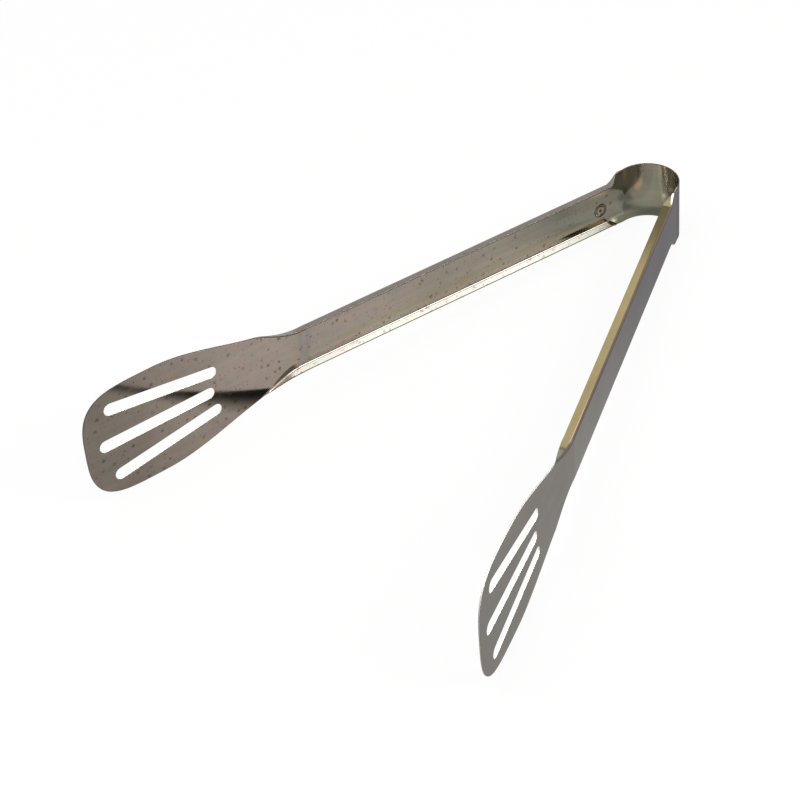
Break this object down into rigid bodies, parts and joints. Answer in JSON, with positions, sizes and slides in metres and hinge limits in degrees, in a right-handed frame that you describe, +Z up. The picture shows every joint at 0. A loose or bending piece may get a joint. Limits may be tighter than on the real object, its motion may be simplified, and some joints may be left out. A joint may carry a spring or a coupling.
{
  "type": "slotted serving tongs",
  "caption": "Serving tongs of folded steel sheet: a round spring bow, channel arms, and broad rounded blades with draining slots.",
  "frame": {"origin": "middle of the footprint on the table that the tongs stand on, edge down", "axes": "+Z up from the table, +Y towards the spring bow, -Y towards the blades' tips, and the arms mirror each other in X with the left arm at -X"},
  "size_m": [0.1848, 0.2646, 0.0509],
  "materials": {
    "bow": "polished",
    "arms": "satin polish",
    "blades": "satin"
  },
  "bodies": {
    "bow": {"spring_bow": "bow"},
    "left_side": {"left_arm": "arms", "left_blade": "blades"},
    "right_side": {"right_arm": "arms", "right_blade": "blades"}
  },
  "joints": [
    {"name": "left_squeeze", "type": "hinge", "parent": "bow", "child": "left_side", "pos_m": [-0.00785, 0.12753, 0.01344], "axis": [0, 0.0517, 0.9987], "range_deg": [-3, 19.5], "stiffness_Nm_per_rad": 3, "deforming": ["spring_bow"]},
    {"name": "right_squeeze", "type": "hinge", "parent": "bow", "child": "right_side", "pos_m": [0.00785, 0.12753, 0.01344], "axis": [0, 0.0517, 0.9987], "range_deg": [-19.5, 3], "stiffness_Nm_per_rad": 3, "deforming": ["spring_bow"]}
  ],
  "couplings": [
    {"joint": "right_squeeze", "follows": "left_squeeze", "ratio": -1}
  ]
}
